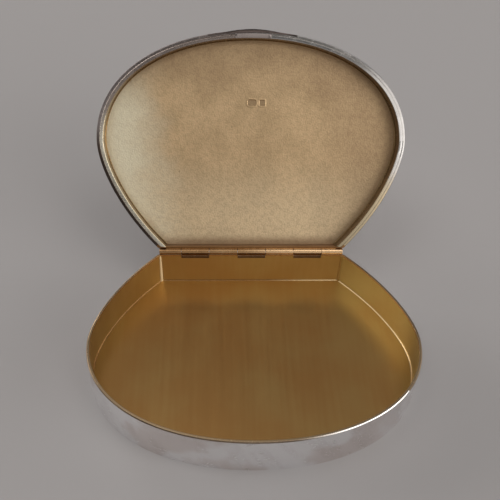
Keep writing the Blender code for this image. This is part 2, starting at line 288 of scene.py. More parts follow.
@dataclass(frozen=True)
class Outline:
    """The box from above: a straight hinge side and two curves a side that meet at the widest place."""

    hinge_width: float = 0.0513
    widest_depth: float = 0.0306
    corner_angle: float = radians(45)
    corner_reach: float = 0.0166
    widest_back_reach: float = 0.0067
    widest_front_reach: float = 0.0175
    front_reach: float = 0.0247
    steps: int = 36
    straight_angle: float = radians(0.2)
    fillet_steps: int = 4

    @property
    def widest_y(self) -> float:
        """Y of the widest place."""
        return BACK_Y - self.widest_depth

    def stations(self, overrun: float = 0.0) -> list[tuple[Vector, Vector, Vector]]:
        """Points of the curve from the right hinge corner round the front to the left, with their handles.

        Args:
            overrun: how far both sides are carried on, straight, behind the hinge side.

        Returns:
            (handle before, point, handle after) for each point.
        """
        heading = Vector((sin(self.corner_angle), -cos(self.corner_angle), 0))
        forward = Vector((0, -1, 0))
        corner = Vector((self.hinge_width / 2, BACK_Y, 0))
        widest = Vector((WALL_HIGH.x, self.widest_y, 0))
        front = Vector((0, WALL_LOW.y, 0))
        behind = widest - self.widest_back_reach * forward
        ahead = widest + self.widest_front_reach * forward
        right = [(corner, corner, corner + self.corner_reach * heading), (behind, widest, ahead)]
        if overrun:
            tail = corner - overrun * heading
            right.insert(0, (tail, tail, tail))
        flip = Vector((-1, 1, 1))
        left = [tuple(place * flip for place in reversed(station)) for station in reversed(right)]
        reach = Vector((self.front_reach, 0, 0))
        return right + [(front + reach, front, front - reach)] + left

    def line(self) -> list[Vector]:
        """The outer edge as points.

        Returns:
            Points from the right hinge corner round the front to the left.
        """
        stations = self.stations()
        points = [stations[0][1]]
        for (_, here, leaving), (arriving, end, _) in zip(stations, stations[1:]):
            points += interpolate_bezier(here, leaving, arriving, end, self.steps + 1)[1:]
        return points

    def front_y(self, x: float) -> float:
        """Y of the front edge at a place across the box.

        Args:
            x: that place.

        Returns:
            The edge's Y.
        """
        points = [point for point in self.line() if point.y < self.widest_y]
        for right, left in zip(points, points[1:]):
            if right.x >= x >= left.x:
                return right.lerp(left, (right.x - x) / (right.x - left.x)).y
        return points[0].y

    def reach(self, angle: float) -> float:
        """Distance from the middle of the hinge side to the edge.

        Args:
            angle: the heading, where 0 looks forwards.

        Returns:
            The distance.
        """
        ray = Vector((sin(angle), -cos(angle), 0))
        points = self.line()
        for right, left in zip(points, points[1:]):
            if atan2(right.x, BACK_Y - right.y) >= angle >= atan2(left.x, BACK_Y - left.y):
                run = left - right
                away = right - Vector((0, BACK_Y, 0))
                return away.cross(run).z / ray.cross(run).z
        return self.hinge_width / 2

    def sheet(self, name: str, height: float, overrun: float = 0.0) -> Obj:
        """One flat face of this outline, looking up.

        Args:
            name: the piece's name.
            height: Z of the face.
            overrun: how far both sides are carried on behind the hinge side.

        Returns:
            The new mesh.
        """
        piece = start(name, bpy.ops.curve.primitive_bezier_curve_add)
        stations = self.stations(overrun)
        spline = piece.data.splines[0]
        spline.bezier_points.add(len(stations) - len(spline.bezier_points))
        for point, (before, place, after) in zip(spline.bezier_points, stations):
            point.handle_left_type = "FREE"
            point.handle_right_type = "FREE"
            point.co = place
            point.handle_left = before
            point.handle_right = after
        spline.use_cyclic_u = True
        spline.resolution_u = self.steps
        bpy.ops.object.convert(target="MESH")
        with editing(piece, Kind.EDGE):
            bpy.ops.mesh.dissolve_limited(angle_limit=self.straight_angle)
            bpy.ops.mesh.edge_face_add()
            bpy.ops.transform.translate(value=(0, 0, height))
        if piece.data.polygons[0].normal.z < 0:
            with editing(piece):
                bpy.ops.mesh.flip_normals()
        return piece

    def plate(self, name: str, inset: float, heights: Span) -> Obj:
        """A flat plate inside the outline.

        Args:
            name: the piece's name.
            inset: how far its edge lies inside the outline.
            heights: its lower and upper Z.

        Returns:
            The new mesh.
        """
        bottom, top = heights
        piece = self.sheet(name, bottom)
        with editing(piece):
            shrink(inset)
            thicken(top - bottom)
        return piece

    def strip(self, name: str, insets: Span, heights: Span, overrun: float = 0.0) -> Obj:
        """An upright strip that follows the outline.

        Args:
            name: the piece's name.
            insets: how far its outer and inner faces lie inside the outline.
            heights: its lower and upper Z.
            overrun: how far both sides are carried on behind the hinge side.

        Returns:
            The new mesh.
        """
        outer, inner = insets
        bottom, top = heights
        piece = self.sheet(name, bottom, overrun)
        with editing(piece):
            if outer:
                shrink(outer)
            bpy.ops.mesh.inset(thickness=inner - outer)
            bpy.ops.mesh.delete(type="FACE")
            thicken(top - bottom)
        return piece

    def slope_rim(self, piece: Obj, height: float, drop: float) -> None:
        """Takes the outer edge of a strip's lower rim back, so that the rim slopes outwards.

        Args:
            piece: the strip.
            height: Z of its lower rim.
            drop: how far the outer edge is taken back.
        """
        middle = Vector((0, self.widest_y))

        def outer_edge(point: bmesh.types.BMVert) -> bool:
            """Whether a point is on the outer edge of the rim."""
            return point.co.z < height + HIDDEN_SINK and point.normal.xy.dot(point.co.xy - middle) > 0

        with editing(piece, Kind.POINT):
            pick(piece, Kind.POINT, outer_edge)
            bpy.ops.transform.translate(value=(0, 0, drop))

    def fillet(
        self, name: str, inset: float, height: float, size: float, overrun: float = 0.0, below: bool = False
    ) -> Obj:
        """A hollow seam of solder in the corner between an upright face and the floor inside it.

        Args:
            name: the piece's name.
            inset: how far the upright face lies inside the outline.
            height: Z of the floor.
            size: how far the seam climbs the upright face and runs out on the floor.
            overrun: how far both sides are carried on behind the hinge side.
            below: whether the seam hangs under a plate instead.

        Returns:
            The new mesh.
        """
        side = -1 if below else 1
        piece = self.sheet(name, height + side * size, overrun)
        with editing(piece):
            shrink(inset - HIDDEN_SINK)
            for step in range(self.fillet_steps):
                here, after = (pi / 2 * share / self.fillet_steps for share in (step, step + 1))
                width = size * (cos(here) - cos(after))
                drop = size * (sin(after) - sin(here))
                bpy.ops.mesh.inset(thickness=width + HIDDEN_SINK * (step == 0), depth=-side * drop)
            bpy.ops.mesh.delete(type="FACE")
            thicken(-side * HIDDEN_SINK)
        return piece


class Signal:
    """An output of a material's nodes, on which sums are written as on a number."""

    def __init__(self, writer: "NodeWriter", socket: bpy.types.NodeSocket) -> None:
        """Keeps the socket and the writer of its tree."""
        self.writer = writer
        self.socket = socket

    def __add__(self, other: "Signal | float") -> "Signal":
        """This plus the other."""
        return self.writer.maths("ADD", self, other)

    def __radd__(self, other: float) -> "Signal":
        """The other plus this."""
        return self.writer.maths("ADD", other, self)

    def __sub__(self, other: "Signal | float") -> "Signal":
        """This less the other."""
        return self.writer.maths("SUBTRACT", self, other)

    def __rsub__(self, other: float) -> "Signal":
        """The other less this."""
        return self.writer.maths("SUBTRACT", other, self)

    def __mul__(self, other: "Signal | float") -> "Signal":
        """This times the other."""
        return self.writer.maths("MULTIPLY", self, other)

    def __rmul__(self, other: float) -> "Signal":
        """The other times this."""
        return self.writer.maths("MULTIPLY", other, self)


class NodeWriter:
    """Adds nodes to one node tree."""

    def __init__(self, tree: bpy.types.NodeTree) -> None:
        """Keeps the tree."""
        self.tree = tree

    def feed(self, socket: bpy.types.NodeSocket, value: object) -> None:
        """Links a signal to a socket, or sets the socket's value.

        Args:
            socket: the input.
            value: a signal, a number, a vector or a colour.
        """
        if isinstance(value, Signal):
            self.tree.links.new(value.socket, socket)
        elif socket.type == "RGBA" and len(value) == 3:
            socket.default_value = (*value, 1)
        else:
            socket.default_value = value

    def node(
        self, kind: str, settings: dict[str, object], sockets: dict[str | int, object], output: int = 0
    ) -> Signal:
        """Adds a node.

        Args:
            kind: Blender's type name without ShaderNode.
            settings: its settings by name.
            sockets: values or signals for its inputs, by name or number.
            output: which output is returned.

        Returns:
            That output.
        """
        node = self.tree.nodes.new("ShaderNode" + kind)
        for name, value in settings.items():
            setattr(node, name, value)
        for name, value in sockets.items():
            self.feed(node.inputs[name], value)
        return Signal(self, node.outputs[output])

    def maths(self, operation: str, first: object, second: object = 0.0) -> Signal:
        """One Math node."""
        return self.node("Math", {"operation": operation}, {0: first, 1: second})

    def axis(self, vector: Signal, name: str) -> Signal:
        """The X, Y or Z of a vector."""
        return self.node("SeparateXYZ", {}, {"Vector": vector}, output="XYZ".index(name))

    def smooth(self, value: Signal, low: float, high: float) -> Signal:
        """0 below low, 1 above high, and a soft step between them."""
        sockets = {"Value": value, "From Min": low, "From Max": high}
        return self.node("MapRange", {"interpolation_type": "SMOOTHSTEP"}, sockets)

    def blend(self, share: Signal | float, first: object, second: object) -> Signal:
        """The first colour at share 0 and the second at share 1."""
        return self.node("Mix", {"data_type": "RGBA"}, {0: share, 6: first, 7: second}, output=2)


@dataclass(frozen=True)
class Scratches:
    """Straight scratches of one heading: how far apart they are, how long, and the heading."""

    spacing: float
    length: float
    heading: float
    lean_share: float = 1 / 3
    width_share: float = 0.05


class Recipe(NodeWriter):
    """The nodes of one finish, which end in a Principled shader."""

    def __init__(self, name: str, **uniform: float) -> None:
        """Starts a material.

        Args:
            name: the material's name.
            uniform: values that are the same all over, by the shader's own names with _ for a space.
        """
        self.material = bpy.data.materials.new(name)
        self.material.use_nodes = True
        super().__init__(self.material.node_tree)
        self.shader = self.tree.nodes["Principled BSDF"]
        for key, value in uniform.items():
            self.shader.inputs[key.replace("_", " ")].default_value = value

    def place(self, on_lid: bool = False, stretch: Triple = (1, 1, 1), turn: Triple = (0, 0, 0)) -> Signal:
        """Object coordinates.

        Args:
            on_lid: whether to read them as on the shut lid.
            stretch: what each axis is multiplied by.
            turn: angles about the axes, before the stretch.

        Returns:
            The coordinates as a vector.
        """
        here = self.node("TexCoord", {}, {}, output=3)
        if on_lid:
            unturn = Matrix.Rotation(OPEN_ANGLE, 3, "X")
            shift = HINGE_AXIS - unturn @ HINGE_AXIS
            sockets = {"Vector": here, "Location": shift, "Rotation": (OPEN_ANGLE, 0, 0)}
            here = self.node("Mapping", {}, sockets)
        if any(turn):
            here = self.node("Mapping", {}, {"Vector": here, "Rotation": turn})
        if stretch != (1, 1, 1):
            here = self.node("VectorMath", {"operation": "MULTIPLY"}, {0: here, 1: stretch})
        return here

    def noise(self, vector: Signal, grain: float, detail: float = 2.0, roughness: float = 0.5) -> Signal:
        """Cloudy noise from 0 to 1 whose patches are about this many metres wide."""
        sockets = {"Vector": vector, "Scale": 1 / grain, "Detail": detail, "Roughness": roughness}
        return self.node("TexNoise", {}, sockets)

    def scratches(self, vector: Signal, kind: Scratches) -> Signal:
        """Thin straight scratches as a mask.

        Args:
            vector: coordinates.
            kind: how they lie.

        Returns:
            1 on a scratch and 0 between them.
        """
        turn = (0, kind.heading * kind.lean_share, kind.heading)
        along = self.node("Mapping", {}, {"Vector": vector, "Rotation": turn})
        shares = (1 / kind.length, 1 / kind.spacing, 1 / kind.spacing)
        along = self.node("VectorMath", {"operation": "MULTIPLY"}, {0: along, 1: shares})
        edge = self.node("TexVoronoi", {"feature": "DISTANCE_TO_EDGE"}, {"Vector": along, "Scale": 1.0})
        return 1 - self.smooth(edge, 0.0, kind.width_share)

    def bump(self, height: Signal, depth: float) -> None:
        """Feeds a height from 0 to 1, this many metres deep, to the shader's normal."""
        sockets = {"Height": height, "Strength": 1.0, "Distance": depth}
        self.feed(self.shader.inputs["Normal"], self.node("Bump", {}, sockets))

    def paint(self, color: object, roughness: object) -> Material:
        """Feeds colour and roughness to the shader.

        Args:
            color: a signal or a colour.
            roughness: a signal or a number.

        Returns:
            The finished material.
        """
        self.feed(self.shader.inputs["Base Color"], color)
        self.feed(self.shader.inputs["Roughness"], roughness)
        return self.material


@dataclass(frozen=True)
class Silver:
    """Polished silver in cool and warm patches, with fine scratches, smears of wiping and brown tarnish.

    The painted-light colour, if any, takes over beyond a Y of the shut lid, towards the hinge: a painted
    highlight or painted shade.
    """

    name: str = "worn_polished_silver"
    clean: Color = (0.97, 0.97, 0.98)
    warm: Color = (0.84, 0.79, 0.77)
    tarnish: Color = (0.36, 0.29, 0.26)
    tarnish_from: float = 0.62
    tarnish_share: float = 0.3
    roughness: float = 0.16
    flutes: int = 0
    painted_light: Color | None = None
    painted_light_from: float = 0.0
    soot: Color = (0.07, 0.055, 0.05)
    soot_least: float = 0.5
    valley_width: Span = (0.02, 0.30)
    stain_size: float = 0.009
    stain_edge: float = 0.12
    patch_size: float = 0.016
    patch_edges: Span = (0.43, 0.58)
    smear_size: float = 0.0035
    smear_stretch: Triple = (1, 1, 0.25)
    smear_lean: float = 0.45
    smear_edges: Span = (0.45, 0.68)
    smear_share: float = 0.12
    smear_depth: float = 0.000004
    painted_light_waver: float = 0.006
    painted_light_length: float = 0.010
    wiping: tuple[Scratches, ...] = (Scratches(0.0011, 0.02, 0.4), Scratches(0.0016, 0.03, 2.1))
    mark_dulling: float = 0.05
    stain_dulling: float = 0.12

    def valleys(self, recipe: Recipe) -> Signal:
        """The bottoms of the flutes of the lid's cover.

        Args:
            recipe: the material they are for.

        Returns:
            1 along the bottom of each flute and 0 on the ridges.
        """
        here = recipe.place(on_lid=True)
        across, forward = recipe.axis(here, "X"), BACK_Y - recipe.axis(here, "Y")
        angle = recipe.maths("ARCTAN2", across, forward) + pi / 2
        ridge = recipe.maths("ABSOLUTE", recipe.maths("SINE", angle * self.flutes))
        return 1 - recipe.smooth(ridge, *self.valley_width)

    def material(self) -> Material:
        """Builds the finish.

        Returns:
            Its material.
        """
        recipe = Recipe(self.name, Metallic=1.0)
        here = recipe.place()
        cloud = recipe.noise(here, self.stain_size, detail=5, roughness=0.6)
        broad = recipe.noise(here, self.patch_size, detail=3, roughness=0.55)
        patches = recipe.smooth(broad, *self.patch_edges)
        stain = recipe.smooth(cloud, self.tarnish_from, self.tarnish_from + self.stain_edge)
        first, second = (recipe.scratches(here, kind) for kind in self.wiping)
        leaning = recipe.place(stretch=self.smear_stretch, turn=(0, self.smear_lean, 0))
        smears = recipe.smooth(recipe.noise(leaning, self.smear_size), *self.smear_edges)
        color = recipe.blend(patches, self.warm, self.clean)
        color = recipe.blend(smears * self.smear_share, color, self.tarnish)
        color = recipe.blend(stain * self.tarnish_share, color, self.tarnish)
        if self.flutes:
            sooty = self.soot_least + cloud * (1 - self.soot_least)
            color = recipe.blend(self.valleys(recipe) * sooty, color, self.soot)
        # Painted light: a highlight or shade that fades in towards the hinge.
        if self.painted_light:
            backward = recipe.axis(recipe.place(on_lid=True), "Y") + cloud * self.painted_light_waver
            shine = recipe.smooth(backward, self.painted_light_from, self.painted_light_from + self.painted_light_length)
            color = recipe.blend(shine, color, self.painted_light)
        dulling = (smears + first + second) * self.mark_dulling + stain * self.stain_dulling
        recipe.bump(smears, self.smear_depth)
        return recipe.paint(color, self.roughness + dulling)


@dataclass(frozen=True)
class Gilding:
    """Smooth gilding, gone satin and a little uneven, and rubbed thin along the top edge of the base.

    The painted-light colour, if any, a painted highlight, takes over beyond an X, towards the right.
    """

    name: str
    deep: Color = (0.57, 0.30, 0.10)
    light: Color = (0.60, 0.36, 0.13)
    worn: Color = (0.50, 0.34, 0.20)
    roughness: float = 0.26
    on_lid: bool = False
    edge_wear: float = 0.5
    painted_light: Color | None = None
    painted_light_from: float = 0.0
    metallic: float = 1.0
    edge_waver: float = 0.0005
    edge_shares: Span = (1.6, 0.5)
    cloud_size: float = 0.020
    grain: float = 0.0005
    brush_marks: Triple = (0.0011, 0.03, 0.01)
    brush_share: float = 0.2
    tone_edges: Span = (0.35, 0.68)
    painted_light_waver: float = 0.006
    painted_light_length: float = 0.02
    mark_dulling: float = 0.06
    mark_depth: float = 0.000004

    def material(self) -> Material:
        """Builds the finish.

        Returns:
            Its material.
        """
        recipe = Recipe(self.name, Metallic=self.metallic)
        here = recipe.place(self.on_lid)
        cloud = recipe.noise(here, self.cloud_size, detail=3)
        fine = recipe.noise(here, self.grain, detail=3)
        stretch = tuple(1 / length for length in self.brush_marks)
        brushed = recipe.noise(recipe.place(self.on_lid, stretch), 1.0, detail=3)
        tone = cloud * (1 - self.brush_share) + brushed * self.brush_share
        color = recipe.blend(recipe.smooth(tone, *self.tone_edges), self.deep, self.light)
        height = recipe.axis(here, "Z") + (fine - 0.5) * self.edge_waver
        low, high = (BASE_HEIGHT - share * self.edge_waver for share in self.edge_shares)
        rubbed = recipe.smooth(height, low, high)
        color = recipe.blend(rubbed * self.edge_wear, color, self.worn)
        # Painted highlight that fades in towards the right.
        if self.painted_light:
            across = recipe.axis(here, "X") + cloud * self.painted_light_waver
            shine = recipe.smooth(across, self.painted_light_from, self.painted_light_from + self.painted_light_length)
            color = recipe.blend(shine, color, self.painted_light)
        roughness = self.roughness + (fine + brushed - rubbed) * self.mark_dulling
        recipe.bump(fine * 0.5 + brushed * 0.5, self.mark_depth)
        return recipe.paint(color, roughness)


@dataclass(frozen=True)
class Punch:
    """A blank punched mark: its place on the shut lid's plate, half its sides and its corners' roundness."""

    center: Span
    half: Span
    corner: float
    bed_edge: Span = (-0.00018, 0.00005)
    burr_rise: Span = (-0.00005, 0.00008)
    burr_fall: Span = (0.00015, 0.00045)
    burr_height: float = 0.5

    def relief(self, recipe: Recipe, here: Signal) -> tuple[Signal, Signal]:
        """The mark's height and its bed.

        Args:
            recipe: the material it is for.
            here: coordinates on the shut lid.

        Returns:
            The height, -1 in the bed and a little above 0 on the burr round it, and the bed as a mask.
        """
        gaps = []
        for name, center, half in zip("XY", self.center, self.half):
            away = recipe.maths("ABSOLUTE", recipe.axis(here, name) - center)
            gaps.append(recipe.maths("MAXIMUM", away - (half - self.corner)))
        reach = recipe.maths("SQRT", gaps[0] * gaps[0] + gaps[1] * gaps[1]) - self.corner
        bed = 1 - recipe.smooth(reach, *self.bed_edge)
        burr = recipe.smooth(reach, *self.burr_rise) - recipe.smooth(reach, *self.burr_fall)
        return burr * self.burr_height - bed, bed


@dataclass(frozen=True)
class Frosting:
    """Pale gilding with the fine matt grain of a scratch brush, and two blank marks.

    It is warm by the hinge, darker towards the front, painted with shade on the right, and rubbed paler with
    a painted highlight on the left. Each of these stretches has two places on the shut lid between which it
    fades in. Shade is also painted along the edge by the bezel and in the beds of the marks.
    """

    name: str = "frosted_gilding"
    pale: Color = (0.72, 0.51, 0.29)
    warm: Color = (0.98, 0.80, 0.53)
    brown: Color = (0.60, 0.42, 0.235)
    # Paler worn gilding that also serves as a painted highlight.
    rubbed: Color = (1.0, 0.90, 0.66)
    # Grime in the grain, and painted shade on the right and along the bezel.
    grime_and_shade: Color = (0.30, 0.19, 0.11)
    speck: Color = (0.34, 0.23, 0.13)
    roughness: float = 0.44
    cloud_size: float = 0.011
    brown_edges: Span = (0.36, 0.66)
    hinge_edges: Span = (-0.024, -0.004)
    hinge_share: float = 0.4
    right_shade_edges: Span = (0.016, 0.036)
    right_shade_share: float = 0.35
    front_edges: Span = (0.042, 0.058)
    front_share: float = 0.3
    rubbed_highlight_edges: Span = (0.022, 0.042)
    rubbed_highlight_heading: float = radians(172)
    hinge_waver: float = 0.008
    front_waver: float = 0.010
    rubbed_highlight_waver: float = 0.014
    edge_shade_share: float = 0.6
    grain: float = 0.00045
    coarse_size: float = 0.00117
    grain_depth: float = 0.00006
    grain_edges: Span = (0.44, 0.60)
    grain_share: float = 0.26
    grain_mix: Span = (0.6, 0.4)
    grain_rubbed_highlight_off: float = 0.6
    grain_dulling: Span = (0.16, 0.10)
    coarse_share: float = 0.6
    speck_spacing: float = 0.006
    speck_edges: Span = (0.02, 0.05)
    speck_share: float = 0.6
    punch_depth: float = 1.8
    punch_shade_share: float = 0.7
    punches: tuple[Punch, ...] = (
        Punch((0.0000, -0.0403), (0.00125, 0.00088), 0.0006),
        Punch((0.0028, -0.0403), (0.00080, 0.00085), 0.0002),
    )

    def stretches(self, recipe: Recipe, here: Signal, cloud: Signal) -> tuple[Signal, Signal]:
        """The plate's colour before its grain, and where it is rubbed and painted with a highlight.

        Args:
            recipe: the material.
            here: coordinates on the shut lid.
            cloud: broad noise.

        Returns:
            The colour, and 1 where the plate is rubbed and painted with a highlight.
        """
        x, y = recipe.axis(here, "X"), recipe.axis(here, "Y")
        color = recipe.blend(recipe.smooth(cloud, *self.brown_edges), self.pale, self.brown)
        by_hinge = recipe.smooth(y + cloud * self.hinge_waver, *self.hinge_edges)
        color = recipe.blend(by_hinge * self.hinge_share, color, self.warm)
        leftward = x * cos(self.rubbed_highlight_heading) + y * sin(self.rubbed_highlight_heading)
        # Painted shade over the right of the plate.
        shaded_right = recipe.smooth(leftward * -1.0, *self.right_shade_edges)
        color = recipe.blend(shaded_right * self.right_shade_share, color, self.grime_and_shade)
        # Darker towards the front.
        by_front = recipe.smooth(y * -1.0 + cloud * self.front_waver, *self.front_edges)
        color = recipe.blend(by_front * self.front_share, color, self.grime_and_shade)
        # Rubbed paler on the left, with a painted highlight there.
        rubbed = recipe.smooth(leftward + cloud * self.rubbed_highlight_waver, *self.rubbed_highlight_edges)
        return recipe.blend(rubbed, color, self.rubbed), rubbed

    def material(self) -> Material:
        """Builds the finish.

        Returns:
            Its material.
        """
        recipe = Recipe(self.name, Metallic=1.0)
        here = recipe.place(on_lid=True)
        cloud = recipe.noise(here, self.cloud_size, detail=3, roughness=0.55)
        grain = recipe.noise(here, self.grain, detail=2, roughness=0.6)
        coarse = recipe.noise(here, self.coarse_size)
        color, rubbed = self.stretches(recipe, here, cloud)
        mixed = grain * self.grain_mix[0] + coarse * self.grain_mix[1]
        dark = recipe.smooth(mixed, *self.grain_edges) * (1 - rubbed * self.grain_rubbed_highlight_off)
        color = recipe.blend(dark * self.grain_share, color, self.grime_and_shade)
        # Painted shade along the plate's edge by the bezel, less where the plate is rubbed.
        edge_shade = recipe.node("Attribute", {"attribute_name": EDGE_SHADE}, {}, output=2)
        color = recipe.blend(edge_shade * (1 - rubbed) * self.edge_shade_share, color, self.grime_and_shade)
        dots = recipe.node("TexVoronoi", {}, {"Vector": here, "Scale": 1 / self.speck_spacing})
        specks = 1 - recipe.smooth(dots, *self.speck_edges)
        color = recipe.blend(specks * self.speck_share, color, self.speck)
        relief = grain + coarse * self.coarse_share
        for punch in self.punches:
            height, bed = punch.relief(recipe, here)
            relief = relief + height * self.punch_depth
            # Painted shade in the bed of the mark.
            color = recipe.blend(bed * self.punch_shade_share, color, self.speck)
        dulling = (grain - 0.5) * self.grain_dulling[0] + (coarse - 0.5) * self.grain_dulling[1]
        recipe.bump(relief, self.grain_depth)
        return recipe.paint(color, self.roughness + dulling)


class Finish(Enum):
    """Every finish of the box, by where it is seen."""

    SILVER = Silver()
    FLUTED_COVER = Silver("fluted_silver", flutes=FLUTES, roughness=0.14)
    LID_SIDE = Silver("shaded_lid_silver", (0.74, 0.70, 0.68), (0.62, 0.57, 0.54), flutes=FLUTES)
    # Left rim of the lid: silver painted darker as painted shade, darkest towards the hinge.
    LID_RIM = Silver(
        "shaded_rim_silver",
        (0.42, 0.36, 0.34),
        (0.34, 0.29, 0.27),
        (0.24, 0.18, 0.16),
        roughness=0.18,
        painted_light=(0.14, 0.10, 0.08),
        painted_light_from=-0.034,
    )
    # Right rim of the lid: silver painted darker, with painted shade in tan towards the hinge.
    RIGHT_RIM = Silver(
        "right_rim_silver_shaded_to_hinge",
        (0.45, 0.43, 0.41),
        (0.40, 0.38, 0.36),
        (0.34, 0.29, 0.26),
        roughness=0.18,
        painted_light=(0.36, 0.29, 0.19),
        painted_light_from=-0.022,
    )
    # Painted shade: near-black silver on the outer edge of the lid's rim at the left and front.
    SHADED_EDGE = Silver("shaded_edge_silver", (0.08, 0.065, 0.06), (0.04, 0.03, 0.03), (0.03, 0.02, 0.02))
    # Left edge of the bezel: silver painted darker, with a painted highlight towards the hinge.
    BEZEL_RIM = Silver(
        "bezel_edge_painted_highlight",
        (0.42, 0.35, 0.31),
        (0.34, 0.28, 0.25),
        (0.24, 0.18, 0.15),
        roughness=0.24,
        painted_light=(0.98, 0.90, 0.74),
        painted_light_from=-0.036,
    )
    # The lip: silver painted dark as painted shade, with tarnish spots.
    LIP = Silver(
        "shaded_tarnished_lip_silver",
        (0.24, 0.19, 0.17),
        (0.13, 0.10, 0.09),
        (0.05, 0.04, 0.035),
        tarnish_from=0.5,
        tarnish_share=0.9,
    )
    FLOOR = Gilding("satin_tray_gilding", edge_wear=0.0)
    WALL = Gilding("pale_wall_gilding", (0.56, 0.44, 0.25), (0.62, 0.52, 0.32), edge_wear=0.8)
    # Shaded and lit copies of the wall gilding: painted shade on the left inner wall and painted light on
    # the right.
    SHADED_LEFT_WALL = Gilding("shaded_left_wall_gilding", (0.42, 0.34, 0.18), (0.50, 0.42, 0.24), edge_wear=0.8)
    LIT_RIGHT_WALL = Gilding(
        "lit_right_wall_gilding", (0.52, 0.48, 0.29), (0.58, 0.56, 0.37), edge_wear=0.8
    )
    BASE_RIM = Gilding(
        "rubbed_base_rim", (0.20, 0.14, 0.09), (0.26, 0.19, 0.125), roughness=0.30, edge_wear=0.0
    )
    # The base rim's slope with a painted highlight over the front right.
    PAINTED_HIGHLIGHT_BASE_RIM = Gilding(
        "base_rim_painted_highlight",
        (0.21, 0.15, 0.10),
        (0.26, 0.19, 0.13),
        roughness=0.20,
        edge_wear=0.0,
        painted_light=(1.0, 0.97, 0.93),
        painted_light_from=0.010,
    )
    # Painted shade: dark gilding in the hinge notches and inside the lid's hinge side.
    SHADED_HINGE_GILT = Gilding(
        "shaded_hinge_gilding", (0.26, 0.13, 0.05), (0.36, 0.20, 0.09), roughness=0.34, edge_wear=0.0
    )
    # Knuckle gilding with a painted highlight on the right.
    KNUCKLE = Gilding(
        "knuckle_gilding_painted_highlight",
        (0.36, 0.20, 0.09),
        (0.54, 0.34, 0.17),
        edge_wear=0.0,
        painted_light=(0.88, 0.58, 0.32),
        painted_light_from=-0.004,
    )
    # Painted shade on the lid knuckles' undersides.
    SHADED_KNUCKLE = Gilding(
        "shaded_knuckle_gilding", (0.13, 0.065, 0.025), (0.22, 0.115, 0.05), edge_wear=0.0
    )
    # Solder with a painted highlight on the right.
    SOLDER = Gilding(
        "gilt_solder",
        (0.26, 0.14, 0.05),
        (0.38, 0.22, 0.09),
        roughness=0.30,
        painted_light=(0.74, 0.55, 0.31),
        painted_light_from=0.004,
    )
    # Painted highlight: pale cream solder for the left corner seam and a line on the bezel's left.
    PAINTED_HIGHLIGHT_SOLDER = Gilding(
        "gilt_solder_painted_highlight",
        (0.92, 0.79, 0.50),
        (0.98, 0.88, 0.61),
        roughness=0.30,
        edge_wear=0.0,
        metallic=0.3,
    )
    # Painted shade: gilding darkened for the inside of the lid's wall and bezel and the plate seam.
    SHADED_LID_GILT = Gilding(
        "shaded_lid_gilding", (0.17, 0.105, 0.045), (0.26, 0.17, 0.08), on_lid=True, edge_wear=0.0
    )
    FROSTED = Frosting()


class Palette:
    """The materials of all finishes."""

    def __init__(self) -> None:
        """Makes each of them once."""
        self.materials = {finish: finish.value.material() for finish in Finish}

    def dress(self, obj: Obj, finishes: list[Finish]) -> None:
        """Gives a mesh its materials.

        Args:
            obj: the mesh.
            finishes: the finish of each face, or one alone for all of them.
        """
        kinds = list(dict.fromkeys(finishes))
        obj.data.materials.clear()
        for kind in kinds:
            obj.data.materials.append(self.materials[kind])
        if len(kinds) > 1:
            for face, finish in zip(obj.data.polygons, finishes):
                face.material_index = kinds.index(finish)


@dataclass
class Piece:
    """A finished mesh, where it belongs and what it stands for."""

    obj: Obj
    body: Body
    slot: Slot
    stands_for: tuple[str, ...]

    def fit(self) -> None:
        """Swings a lid piece open, and joins the piece to its body in the frame."""
        if self.body is Body.LID:
            swing_open(self.obj)
        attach(self.obj, self.body.value)
        if self.stands_for:
            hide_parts(*self.stands_for)
        log.info("%s: %d faces, on the %s", self.obj.name, len(self.obj.data.polygons), self.body.value)


@dataclass
class Assembly:
    """A group of pieces that are made and dressed together."""

    outline: Outline
    palette: Palette
    pieces: list[Piece] = field(default_factory=list, init=False)
    inward_share: float = 0.2
    rim_tilt: float = radians(15)

    def add(
        self,
        obj: Obj,
        body: Body,
        slot: Slot,
        finish: Finish | Callable[[Face], Finish],
        *stands_for: str,
    ) -> None:
        """Dresses a new mesh and lists it.

        Args:
            obj: the mesh.
            body: the body it rides on.
            slot: the record's finish.
            finish: its finish, or what tells the finish of each face.
            stands_for: the CAD nodes that it replaces.
        """
        finishes = [finish(face) for face in obj.data.polygons] if callable(finish) else [finish]
        self.palette.dress(obj, finishes)
        self.pieces.append(Piece(obj, body, slot, stands_for))

    def looks_in(self, face: Face) -> bool:
        """Whether a face of an upright wall looks towards the middle of the box.

        Args:
            face: that face.

        Returns:
            True if it looks inwards.
        """
        middle = Vector((0, self.outline.widest_y, face.center.z))
        inwards = middle - face.center
        return face.normal.dot(inwards) > self.inward_share * inwards.length

    def fit(self) -> None:
        """Joins every piece to the frame."""
        for piece in self.pieces:
            piece.fit()


